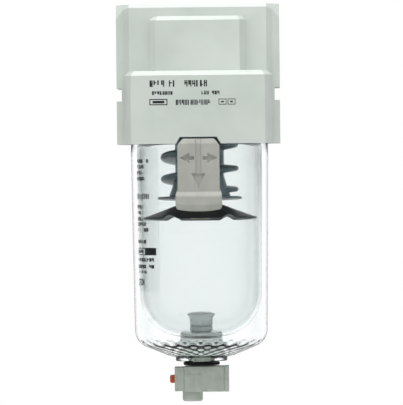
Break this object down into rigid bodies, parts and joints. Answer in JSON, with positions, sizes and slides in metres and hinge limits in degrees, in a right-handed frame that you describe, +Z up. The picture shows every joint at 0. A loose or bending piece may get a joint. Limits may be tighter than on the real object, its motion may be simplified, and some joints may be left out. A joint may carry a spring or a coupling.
{
  "type": "compressed air filter",
  "caption": "Modular compressed air filter with a die-cast ported body, clear bowl in a clear guard, lock button, swirl deflector, baffle and push-button drain.",
  "frame": {"origin": "centre of the body's flat top face; the bowl's axis passes through it", "axes": "+Z up, out of the top face; +X from the inlet port on the left to the outlet port on the right; -Y is the front, with the lock button"},
  "size_m": [0.053, 0.0511, 0.1294],
  "materials": {
    "die_cast": "satin, pale grey paint over a die casting",
    "clear": "clear polycarbonate, gloss",
    "warm_grey": "fine satin",
    "slate": "satin",
    "black_plastic": "satin",
    "rubber": "matt",
    "drain_grey": "satin",
    "pale_grey": "satin, natural acetal",
    "silicone": "matt, natural silicone",
    "orange": "satin",
    "element": "sintered fibre, matt",
    "steel": "drawn wire",
    "brass": "turned",
    "label": "printed film, satin"
  },
  "bodies": {
    "housing": {"body": "die_cast", "bowl_o_ring": "rubber", "bowl": "clear", "bowl_guard": "clear", "caution_label": "label", "lock_spring": "steel", "swirl_deflector": "slate", "deflector_gasket": "rubber", "element_gasket_upper": "rubber", "filter_element": "element", "element_gasket_lower": "rubber", "element_plate": "slate", "tie_rod": "brass", "baffle": "black_plastic", "baffle_nut": "brass", "drain_intake": "pale_grey", "drain_nut": "pale_grey", "drain_gasket": "silicone", "drain_collar": "pale_grey", "drain_seal_ring": "rubber", "drain_body": "drain_grey", "drain_gland": "drain_grey", "drain_end_cap": "drain_grey", "gland_o_ring": "rubber", "drain_spring": "steel", "drain_nozzle": "drain_grey"},
    "lock_button": {"lock_button": "warm_grey"},
    "drain_button": {"drain_button": "orange", "drain_spool": "brass", "spool_o_ring_outer": "rubber", "spool_o_ring_inner": "rubber"}
  },
  "joints": [
    {"name": "lock_button_slide", "type": "slide", "parent": "housing", "child": "lock_button", "axis": [0, 0, -1], "range_m": [0, 0.0025], "stiffness_N_per_m": 900, "springref_m": -0.001, "deforming": ["lock_spring"]},
    {"name": "drain_button_slide", "type": "slide", "parent": "housing", "child": "drain_button", "axis": [1, 0, 0], "range_m": [0, 0.0013], "stiffness_N_per_m": 1200, "springref_m": -0.001, "deforming": ["drain_spring"]}
  ]
}
